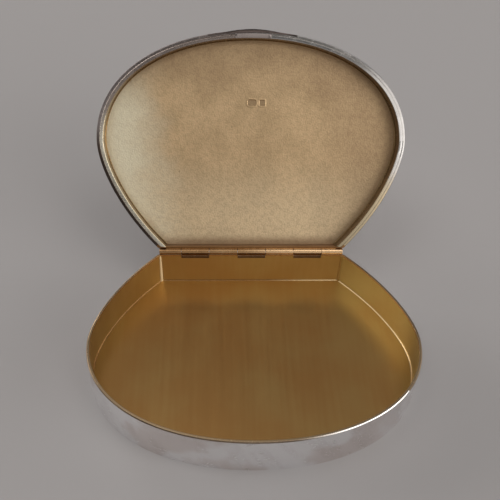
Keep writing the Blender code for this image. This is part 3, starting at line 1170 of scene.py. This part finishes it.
@dataclass
class Hinge(Assembly):
    """Seven knuckles on a pin, plugged at both ends, between two bearers that stop the open lid."""

    barrel_radius: float = 0.0010
    bore_radius: float = 0.00054
    knuckle_round: float = 0.00009
    shaded_below: float = 0.35
    plug_radius: float = 0.00050
    plug_dome: float = 0.00018
    dome_shares: Span = (0.25, 0.3)
    bearer_thickness: float = 0.0005
    bearer_clearance: float = 0.00006
    bearer_round: float = 0.00010
    bearer_steps: int = 14
    stop_gap: float = 0.00005
    sides: int = 48

    def rod(self, name: str, radius: float, left: float, right: float) -> Obj:
        """A plain rod on the hinge axis.

        Args:
            name: its name.
            radius: its radius.
            left: X of its left end.
            right: X of its right end.

        Returns:
            The new mesh.
        """
        return start(
            name,
            bpy.ops.mesh.primitive_cylinder_add,
            vertices=self.sides,
            radius=radius,
            depth=right - left,
            location=HINGE_AXIS + Vector(((left + right) / 2, 0, 0)),
            rotation=(0, pi / 2, 0),
        )

    def groove_cutter(self) -> Obj:
        """A rod that lets the barrel into the back walls."""
        reach = self.outline.hinge_width
        return self.rod("groove_cutter", self.barrel_radius + self.bearer_clearance, -reach, reach)

    def knuckle(self, node: str) -> Obj:
        """One tube of the barrel, with softly rounded ends.

        Args:
            node: the CAD node whose place it takes.

        Returns:
            The new mesh.
        """
        low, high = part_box(node)
        piece = self.rod(f"{node}_tube", self.barrel_radius, low.x, high.x)
        with editing(piece):
            pick(piece, Kind.FACE, lambda face: abs(face.normal.x) > FACING)
            bpy.ops.mesh.inset(thickness=self.barrel_radius - self.bore_radius, use_individual=True)
            bpy.ops.mesh.bridge_edge_loops()
            face_outwards()
        soften(piece, self.knuckle_round)
        shade(piece)
        return piece

    def plug(self, node: str) -> Obj:
        """The domed end of the pin's plug.

        Args:
            node: the CAD node whose place it takes.

        Returns:
            The new mesh.
        """
        low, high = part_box(node)
        piece = self.rod(f"{node}_dome", self.plug_radius, low.x, high.x)
        side = 1 if high.x > 0 else -1
        with editing(piece):
            pick(piece, Kind.FACE, lambda face: face.normal.x * side > FACING)
            for share in self.dome_shares:
                bpy.ops.mesh.inset(thickness=self.plug_radius * share)
                bpy.ops.transform.translate(value=(side * self.plug_dome * share, 0, 0))
            face_outwards()
        shade(piece)
        return piece

    def bearer(self, node: str, side: int) -> Obj:
        """A strip bent round the back of the barrel, from the wall to the stop.

        Args:
            node: the CAD node whose place it takes.
            side: 1 above the barrel and -1 below it.

        Returns:
            The new mesh.
        """
        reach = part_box(node)[1].x
        inner = self.barrel_radius + self.bearer_clearance
        middle = inner + self.bearer_thickness / 2
        stop = OPEN_ANGLE / 2 + self.stop_gap / 2 / inner
        end = HINGE_AXIS + Vector((0, middle * cos(stop), side * middle * sin(stop)))
        size = Matrix.Diagonal((2 * reach, self.bearer_thickness, 1, 1))
        piece = start(f"{node}_strip", bpy.ops.mesh.primitive_plane_add, size=1)
        move_by(piece, Matrix.Translation(end) @ Matrix.Rotation(side * stop, 4, "X") @ size)
        with editing(piece):
            turn = -side * (pi - stop)
            bpy.ops.mesh.spin(steps=self.bearer_steps, angle=turn, center=HINGE_AXIS, axis=(1, 0, 0))
            face_outwards()
        trim(piece, Vector((0, BACK_Y - HIDDEN_SINK, 0)), Vector((0, -1, 0)))
        soften(piece, self.bearer_round, 2)
        shade(piece)
        return piece

    def lid_knuckle_finish(self, face: Face) -> Finish:
        """Knuckle gilding, with its painted highlight, where a knuckle of the open lid looks up, and painted
        shade elsewhere.
        """
        opened = Matrix.Rotation(-OPEN_ANGLE, 3, "X") @ face.normal
        return Finish.SHADED_KNUCKLE if opened.z < self.shaded_below else Finish.KNUCKLE

    def build(self) -> None:
        """Makes the knuckles, plugs and bearers, and dresses the pin."""
        for node in knuckles(Body.BASE):
            self.add(self.knuckle(node), Body.BASE, Slot.SILVER, Finish.KNUCKLE, node)
        for node in knuckles(Body.LID):
            self.add(self.knuckle(node), Body.LID, Slot.SILVER, self.lid_knuckle_finish, node)
        for node in ("pin_plug_left", "pin_plug_right"):
            self.add(self.plug(node), Body.BASE, Slot.SILVER, Finish.SILVER, node)
        for node, body, side in (("base_bearer", Body.BASE, -1), ("lid_bearer", Body.LID, 1)):
            self.add(self.bearer(node, side), body, Slot.SILVER, Finish.SILVER, node)
        self.palette.dress(frame["nodes"]["hinge_pin"], [Finish.SILVER])


@dataclass
class Base(Assembly):
    """The upright wall, notched for the hinge, the floor let into it and the solder between them."""

    hinge: Hinge = field(kw_only=True)
    wall_thickness: float = 0.00075
    edge_round: float = 0.00013
    rim_chamfer: float = 0.00030
    chamfer_steps: int = 3
    chamfer_profile: float = 0.35
    painted_highlight_until: float = 0.037
    side_share: float = 0.3
    notch_depth: float = 0.00125
    notch_overrun: float = 0.0015
    fillet_size: float = 0.00026
    corner_seam_radius: float = 0.00032
    corner_seam_shift: float = 0.00012
    corner_seam_spread: float = 1.5
    corner_seam_sides: int = 24
    seam_top_gap: float = 0.0006

    def notch_cutter(self, node: str) -> Obj:
        """A block that opens the wall for one knuckle of the lid.

        Args:
            node: the knuckle.

        Returns:
            The new mesh.
        """
        low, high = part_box(node)
        gap = self.hinge.stop_gap
        bottom, top = BASE_HEIGHT - self.notch_depth, BASE_HEIGHT + self.notch_overrun
        front, back = BACK_Y - self.wall_thickness - self.notch_overrun, BACK_Y + self.notch_overrun
        return start(
            "notch_cutter",
            bpy.ops.mesh.primitive_cube_add,
            size=1,
            location=((low.x + high.x) / 2, (front + back) / 2, (bottom + top) / 2),
            scale=(high.x - low.x + 2 * gap, back - front, top - bottom),
        )

    def wall(self) -> Obj:
        """The upright wall, its rim worn to a slope outside, let in for the barrel and the lid's knuckles.

        Returns:
            The new mesh.
        """
        piece = self.outline.strip("base_side", (0, self.wall_thickness), (0, BASE_HEIGHT))
        middle = Vector((0, self.outline.widest_y))

        def outer_rim(edge: bmesh.types.BMEdge) -> bool:
            """Whether an edge lies between the rim and the outer face.

            Args:
                edge: that edge.

            Returns:
                True if it does.
            """
            place = (edge.verts[0].co + edge.verts[1].co) / 2
            outwards = [face.normal.xy.dot(place.xy - middle) > HIDDEN_SINK for face in edge.link_faces]
            return place.z > BASE_HEIGHT - HIDDEN_SINK and sorted(outwards) == [False, True]

        with editing(piece):
            pick(piece, Kind.EDGE, outer_rim)
            bpy.ops.mesh.bevel(
                offset=self.rim_chamfer, segments=self.chamfer_steps, profile=self.chamfer_profile
            )
        cut(piece, self.hinge.groove_cutter())
        for node in knuckles(Body.LID):
            cut(piece, self.notch_cutter(node))
        soften(piece, self.edge_round)
        shade(piece)
        return piece

    def wall_finish(self, face: Face) -> Finish:
        """The finish of one face of the wall.

        Args:
            face: that face.

        Returns:
            Gilding inside and on the rim, with painted shade on the left wall, painted light on the right
            wall and painted shade in the notches; rim gilding on the outer slope, with a painted highlight
            at the front right; silver outside.
        """
        x, y, z = face.center
        inside = self.looks_in(face) or face.normal.z > cos(self.rim_tilt)
        # Painted shade on the left inner wall and painted light on the right.
        if inside and x < 0 and face.normal.x > self.side_share:
            return Finish.SHADED_LEFT_WALL
        if inside and x > 0 and face.normal.x < -self.side_share:
            return Finish.LIT_RIGHT_WALL
        # Painted shade in the notches.
        if face.normal.z > FACING and z < BASE_HEIGHT - self.notch_depth / 2:
            return Finish.SHADED_HINGE_GILT
        if inside:
            return Finish.WALL
        # A painted highlight on the front right of the rim's slope.
        if z > BASE_HEIGHT - self.rim_chamfer:
            lit = 0 < x < self.painted_highlight_until and y < self.outline.widest_y
            return Finish.PAINTED_HIGHLIGHT_BASE_RIM if lit else Finish.BASE_RIM
        return Finish.SILVER

    def corner_seam(self, name: str, side: int, bottom: float) -> Obj:
        """The hollow upright seam in an inner hinge corner, spread at its foot.

        Args:
            name: the piece's name.
            side: -1 for the left corner, 1 for the right one.
            bottom: Z of the floor.

        Returns:
            The new mesh.
        """
        y = BACK_Y - self.wall_thickness
        corner = self.outline.hinge_width / 2 - self.wall_thickness * tan(self.outline.corner_angle / 2)
        top = BASE_HEIGHT - self.seam_top_gap
        piece = start(
            name,
            bpy.ops.mesh.primitive_cylinder_add,
            vertices=self.corner_seam_sides,
            radius=self.corner_seam_radius,
            depth=top - bottom,
            location=(side * (corner + self.corner_seam_shift), y, (top + bottom) / 2),
        )
        spread = (self.corner_seam_spread, self.corner_seam_spread, 1)
        with editing(piece):
            pick(piece, Kind.POINT, lambda point: point.co.z < bottom + HIDDEN_SINK)
            bpy.ops.transform.resize(value=spread, center_override=(side * corner, y, bottom))
        shade(piece)
        return piece

    def build(self) -> None:
        """Makes the wall, the floor and the seams between them."""
        low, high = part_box("base_floor")
        self.add(self.wall(), Body.BASE, Slot.SILVER, self.wall_finish, "base_wall")
        floor = self.outline.plate("tray_floor", self.wall_thickness, (low.z, high.z))
        shade(floor)

        def floor_finish(face: Face) -> Finish:
            """Gilt above and silver below."""
            return Finish.FLOOR if face.normal.z > FACING else Finish.SILVER

        self.add(floor, Body.BASE, Slot.GILT, floor_finish, "base_floor")
        seam = self.outline.fillet("floor_seam", self.wall_thickness, high.z, self.fillet_size)
        shade(seam)
        self.add(seam, Body.BASE, Slot.GILT, Finish.SOLDER)
        # The left corner seam carries a painted highlight.
        seams = (("corner_seam_left", -1, Finish.PAINTED_HIGHLIGHT_SOLDER), ("corner_seam_right", 1, Finish.WALL))
        for name, side, finish in seams:
            self.add(self.corner_seam(name, side, high.z), Body.BASE, Slot.GILT, finish)


@dataclass
class Lid(Assembly):
    """The lid: wall, bezel, frosted lining plate, fluted cover, lip for the thumb and catch strip."""

    hinge: Hinge = field(kw_only=True)
    inset: float = 0.0001
    fit_gap: float = 0.00005
    shut_gap: float = 0.00006
    wall_thickness: float = 0.0009
    wall_height: float = 0.0050
    edge_round: float = 0.00016
    rim_slope: float = 0.00016
    outward_share: float = 0.45
    bezel_thickness: float = 0.0010
    bezel_reach: float = 0.0010
    bezel_overrun_share: float = 3
    bezel_rim_shares: Span = (0.2, 0.95)
    painted_light_from: float = -0.036
    plate_height: float = 0.0038
    plate_thickness: float = 0.00045
    edge_shade_width: float = 0.0020
    fillet_size: float = 0.00028
    cover_thickness: float = 0.0005
    cover_crease: float = radians(14)
    dome_height: float = 0.0030
    dome_back_slope: float = 0.0140
    flute_steps: int = 10
    flute_height: float = 0.0004
    flute_bulge: float = 0.00025
    cover_rings: int = 28
    thumb_length: float = 0.0240
    thumb_projection: float = 0.0007
    thumb_height: float = 0.0014
    thumb_thickness: float = 0.0004
    thumb_steps: tuple[int, int] = (48, 10)
    catch_length: float = 0.0097
    catch_thickness: float = 0.0003
    catch_grip: float = 0.0002
    catch_round: float = 0.00005

    @property
    def rim(self) -> float:
        """Z of the shut lid's rim."""
        return BASE_HEIGHT + self.shut_gap

    @property
    def plate_bottom(self) -> float:
        """Z of the lining plate's face."""
        return self.rim + self.plate_height

    @property
    def bezel_insets(self) -> Span:
        """How far the bezel's outer and inner faces lie inside the outline."""
        outer = self.inset + self.wall_thickness + self.fit_gap
        return outer, outer + self.bezel_thickness

    @property
    def overrun(self) -> float:
        """How far the bezel's sides are carried on, so that its back lies clear behind the hinge side."""
        return self.bezel_overrun_share * self.bezel_thickness / cos(self.outline.corner_angle)

    def open_back(self, piece: Obj) -> None:
        """Cuts off what of the bezel or its seam lies at the hinge side."""
        trim(piece, Vector((0, BACK_Y - self.bezel_insets[0], 0)), Vector((0, 1, 0)))
        shade(piece)

    def wall(self) -> Obj:
        """The upright wall, let in for the barrel.

        Returns:
            The new mesh.
        """
        insets = (self.inset, self.inset + self.wall_thickness)
        piece = self.outline.strip("lid_side", insets, (self.rim, self.rim + self.wall_height))
        self.outline.slope_rim(piece, self.rim, self.rim_slope)
        soften(piece, self.edge_round)
        cut(piece, self.hinge.groove_cutter())
        shade(piece)
        return piece

    def bezel(self) -> Obj:
        """The strip round the sides and front that enters the base when the lid shuts.

        Returns:
            The new mesh.
        """
        bottom = BASE_HEIGHT - self.bezel_reach
        heights = (bottom, self.plate_bottom)
        piece = self.outline.strip("bezel_band", self.bezel_insets, heights, self.overrun)
        self.outline.slope_rim(piece, bottom, self.rim_slope)
        soften(piece, self.edge_round)
        self.open_back(piece)
        return piece

    def plate_seam(self) -> Obj:
        """The hollow seam of solder between the bezel and the lining plate.

        Returns:
            The new mesh.
        """
        inset = self.bezel_insets[1]
        size = self.fillet_size
        piece = self.outline.fillet("plate_seam", inset, self.plate_bottom, size, self.overrun, below=True)
        self.open_back(piece)
        return piece

    def plate(self) -> Obj:
        """The lining plate, with a value at its points that falls from 1 at the bezel to 0 further in,
        marking where shade is painted.

        Returns:
            The new mesh.
        """
        heights = (self.plate_bottom, self.plate_bottom + self.plate_thickness)
        piece = self.outline.plate("frosted_plate", self.bezel_insets[0], heights)
        with editing(piece):
            pick(piece, Kind.FACE, lambda face: face.normal.z < -FACING)
            bpy.ops.mesh.inset(thickness=self.bezel_thickness)
            bpy.ops.mesh.inset(thickness=self.edge_shade_width)
            bpy.ops.mesh.remove_doubles(threshold=self.edge_shade_width / 4)
            bpy.ops.mesh.poke()
        values = piece.data.attributes.new(EDGE_SHADE, "FLOAT", "POINT").data
        for vertex, item in zip(piece.data.vertices, values):
            item.value = float(not vertex.select)
        shade(piece)
        return piece

    def catch(self) -> Obj:
        """The short strip across the bezel's edge that grips the base.

        Returns:
            The new mesh.
        """
        outer, inner = self.bezel_insets
        top = BASE_HEIGHT - self.bezel_reach
        heights = (top - self.catch_thickness, top + HIDDEN_SINK)
        piece = self.outline.strip("catch_plate", (outer - self.catch_grip, inner), heights)
        for side in (-1, 1):
            trim(piece, Vector((side * self.catch_length / 2, 0, 0)), Vector((side, 0, 0)))
        trim(piece, Vector((0, self.outline.widest_y, 0)), Vector((0, 1, 0)))
        soften(piece, self.catch_round, 2)
        shade(piece)
        return piece

    def cover_place(self, angle: float, share: float) -> Vector:
        """A place on the underside of the fluted cover.

        Args:
            angle: its heading from the middle of the hinge side, where 0 looks forwards.
            share: how far it is on the way to the edge, from 0 to 1.

        Returns:
            The place.
        """
        ridge = abs(sin(FLUTES * (angle + pi / 2)))
        reach = share * (self.outline.reach(angle) + self.flute_bulge * ridge)
        forward = reach * cos(angle)
        slope = sin(pi / 2 * min(1, forward / self.dome_back_slope))
        crown = self.dome_height * (1 - share**3) * slope
        height = crown + self.flute_height * ridge * share * slope
        seat = self.rim + self.wall_height + self.fit_gap
        return Vector((reach * sin(angle), BACK_Y - forward, seat + height))

    def cover(self) -> Obj:
        """The low domed sheet whose flutes fan out from the middle of the hinge side.

        Returns:
            The new mesh, a grid whose columns lie along the flutes.
        """
        columns, rings = FLUTES * self.flute_steps, self.cover_rings
        grid = bpy.ops.mesh.primitive_grid_add
        piece = start("fluted_cover", grid, x_subdivisions=columns, y_subdivisions=rings, size=1)
        for vertex in piece.data.vertices:
            vertex.co = self.cover_place(pi * vertex.co.x, vertex.co.y + 0.5)
        with editing(piece):
            extrude((0, 0, self.cover_thickness))
            face_outwards()
        shade(piece, self.cover_crease)
        return piece

    def thumb(self) -> Obj:
        """The lip on the front, a lens that swells to the middle and dies away to its ends.

        Returns:
            The new mesh.
        """
        columns, rows = self.thumb_steps
        grid = bpy.ops.mesh.primitive_grid_add
        piece = start("thumb_lip", grid, x_subdivisions=columns, y_subdivisions=rows, size=1)
        for vertex in piece.data.vertices:
            along, turn = vertex.co.x, pi * (vertex.co.y + 0.5)
            x = self.thumb_length * along
            out = (self.thumb_projection * cos(pi * along) ** 2 - self.inset) * sin(turn)
            y = self.outline.front_y(x) + self.inset - out
            vertex.co = (x, y, self.rim + self.thumb_height * (1 - cos(turn)) / 2)
        with editing(piece):
            extrude((0, self.thumb_thickness, 0))
            face_outwards()
        shade(piece)
        return piece

    def from_middle(self, face: Face) -> Vector:
        """How a face lies from the middle of the rim's plane."""
        return face.center - Vector((0, self.outline.widest_y, self.rim))

    def wall_finish(self, face: Face) -> Finish:
        """The finish of one face of the wall.

        Args:
            face: that face.

        Returns:
            Silver outside, shaded gilding inside, painted shade inside the hinge side, and silver painted
            with shade on the rim, darkest on its outer edge at the left and front.
        """
        away = self.from_middle(face)
        outer = face.normal.dot(away) > self.outward_share * away.length
        if face.center.y > BACK_Y - self.inset - self.wall_thickness - HIDDEN_SINK:
            # Painted shade inside the hinge side.
            return Finish.LID_SIDE if outer else Finish.SHADED_HINGE_GILT
        if face.center.z < self.rim + self.rim_slope + self.edge_round:
            # Painted shade on the rim's outer edge at the left and front.
            if outer and face.center.x < self.thumb_length / 2:
                return Finish.SHADED_EDGE
            # The rim's silver is painted with shade.
            return Finish.RIGHT_RIM if face.center.x > 0 else Finish.LID_RIM
        # Shaded gilding inside.
        return Finish.SHADED_LID_GILT if self.looks_in(face) else Finish.LID_SIDE

    def bezel_finish(self, face: Face) -> Finish:
        """The finish of one face of the bezel.

        Args:
            face: that face.

        Returns:
            Shaded gilding on the sides, silver painted darker on the edge with a painted highlight towards
            the hinge on the left, and a painted highlight line along the left of the corner.
        """
        steep, flat = self.bezel_rim_shares
        # Shaded gilding on the sides.
        if face.normal.z >= -steep:
            return Finish.SHADED_LID_GILT
        if face.normal.z > -flat and face.normal.dot(self.from_middle(face)) < 0:
            # A painted highlight line on the left, towards the hinge.
            lit = face.center.x < 0 and face.center.y > self.painted_light_from
            return Finish.PAINTED_HIGHLIGHT_SOLDER if lit else Finish.SHADED_LID_GILT
        # Silver painted darker on the edge, with a painted highlight towards the hinge on the left.
        return Finish.RIGHT_RIM if face.center.x > 0 else Finish.BEZEL_RIM

    def build(self) -> None:
        """Makes every piece of the lid as it lies on the shut box."""
        self.add(self.wall(), Body.LID, Slot.SILVER, self.wall_finish, "lid_wall")
        self.add(self.bezel(), Body.LID, Slot.GILT, self.bezel_finish, "lid_bezel")
        self.add(self.plate(), Body.LID, Slot.FROSTED, Finish.FROSTED, "lid_lining_plate")
        self.add(self.plate_seam(), Body.LID, Slot.GILT, Finish.SHADED_LID_GILT)
        self.add(self.cover(), Body.LID, Slot.SILVER, Finish.FLUTED_COVER, "lid_cover")
        self.add(self.thumb(), Body.LID, Slot.SILVER, Finish.LIP, "thumbpiece")
        self.add(self.catch(), Body.LID, Slot.GILT, Finish.LID_RIM, "catch_strip")


@dataclass(frozen=True)
class Glow:
    """A round soft-edged region of the world that gives light.

    Its heading is measured from the front towards the right, in degrees, as are its rise above the horizon,
    the radius within which it is evenly bright and the radius at which it ends.
    """

    name: str
    strength: float
    heading: float
    rise: float
    even: float = 7
    end: float = 20

    def direction(self) -> Vector:
        """Where it is seen from the box."""
        heading, rise = radians(self.heading), radians(self.rise)
        return Vector((sin(heading) * cos(rise), -cos(heading) * cos(rise), sin(rise)))


@dataclass
class Studio:
    """A pale floor, soft light and the camera."""

    floor_size: float = 3.0
    floor_color: Color = (0.360, 0.340, 0.335)
    floor_roughness: float = 0.9
    daylight: Color = (1.0, 0.985, 0.97)
    room: float = 0.12
    glows: tuple[Glow, ...] = (
        Glow("window", 1.5, 42, 40, 9, 13),
        Glow("window_far_side", 1.0, 52, 28, 8, 14),
        Glow("window_foot", 1.0, 40, 18, 6, 12),
        Glow("window_surround", 0.5, 70, 42),
        Glow("low_right", 4.0, 70, 14, 6),
        Glow("low_front_right", 1.0, 35, 14, 6),
        Glow("low_front", 0.5, 0, 14, 6),
        Glow("low_left", 1.0, -70, 14, 6),
        Glow("low_back_left", 5.0, -110, 14, 6),
        Glow("low_behind_left", 5.0, -145, 14, 6),
        Glow("low_back_right", 3.0, 110, 14, 6),
        Glow("front", 0.12, -2, 42),
        Glow("front_left", 0.5, -21, 37, 5, 13),
        Glow("front_right", 0.4, 22, 44, 5, 12),
        Glow("window_left", 0.2, -44, 33, 5, 11),
        Glow("over_camera", 0.7, 2, 50, 5, 10),
        Glow("back_left", 0.65, -108, 45),
        Glow("back_right", 0.1, 108, 45),
        Glow("behind_right", 0.14, 145, 48),
        Glow("skylight_left", 1.8, -75, 70),
        Glow("skylight_right", 1.8, 75, 70),
        Glow("skylight_side", 0.4, -90, 62),
        Glow("skylight_behind", 0.4, -150, 70),
        Glow("skylight_middle", 0.3, 0, 90, 6, 16),
    )
    camera_distance: float = 0.224
    camera_elevation: float = radians(46.75)
    camera_yaw: float = radians(4.07)
    camera_roll: float = radians(2.96)
    lens: float = 57.6
    aim_offset: Span = (-0.00043, 0.00079)
    clip_share: float = 0.01

    def floor(self) -> None:
        """The floor that the box stands on."""
        floor = start("studio_floor", bpy.ops.mesh.primitive_plane_add, size=self.floor_size)
        floor.data.materials.append(Recipe("pale_floor").paint(self.floor_color, self.floor_roughness))

    def world(self) -> None:
        """Even light from all round, and the glows."""
        world = bpy.data.worlds.new("studio")
        bpy.context.scene.world = world
        world.use_nodes = True
        writer = NodeWriter(world.node_tree)
        looked_at = writer.node("TexCoord", {}, {}, output=0)
        color = Vector(self.daylight) * self.room
        for glow in self.glows:
            sockets = {0: looked_at, 1: glow.direction()}
            cosine = writer.node("VectorMath", {"operation": "DOT_PRODUCT"}, sockets, output=1)
            share = writer.smooth(cosine, cos(radians(glow.end)), cos(radians(glow.even)))
            sockets = {0: Vector(self.daylight) * glow.strength, "Scale": share}
            lit = writer.node("VectorMath", {"operation": "SCALE", "label": glow.name}, sockets)
            color = writer.node("VectorMath", {"operation": "ADD"}, {0: color, 1: lit})
        writer.feed(world.node_tree.nodes["Background"].inputs["Color"], color)

    def camera(self) -> None:
        """The camera at the photograph's place."""
        rise, yaw = self.camera_elevation, self.camera_yaw
        right = Vector((cos(yaw), -sin(yaw), 0))
        back = Vector((-sin(yaw) * cos(rise), -cos(yaw) * cos(rise), sin(rise)))
        up = back.cross(right)
        reference = Vector((0, BACK_Y, BASE_HEIGHT))
        place = reference + back * self.camera_distance
        aim = reference + right * self.aim_offset[0] + up * self.aim_offset[1]
        back = (place - aim).normalized()
        right = up.cross(back).normalized()
        up = back.cross(right)
        data = bpy.data.cameras.new("camera")
        data.lens = self.lens
        data.clip_start = self.camera_distance * self.clip_share
        camera = bpy.data.objects.new("camera", data)
        bpy.context.scene.collection.objects.link(camera)
        turn = Matrix((right, up, back)).transposed().to_4x4()
        camera.matrix_world = Matrix.Translation(place) @ turn @ Matrix.Rotation(self.camera_roll, 4, "Z")
        bpy.context.scene.camera = camera

    def build(self) -> None:
        """Sets up the floor, the light and the camera."""
        bpy.context.scene.view_settings.view_transform = "Standard"
        self.floor()
        self.world()
        self.camera()


def main() -> None:
    """Builds the box piece by piece and then the studio."""
    logging.basicConfig(level=logging.INFO, format="%(message)s")
    outline, palette = Outline(), Palette()
    hinge = Hinge(outline, palette)
    assemblies = [hinge, Base(outline, palette, hinge=hinge), Lid(outline, palette, hinge=hinge)]
    for assembly in assemblies:
        assembly.build()
        assembly.fit()
        log.info("%s: %d pieces", type(assembly).__name__, len(assembly.pieces))
    Studio().build()


if __name__ == "__main__":
    main()
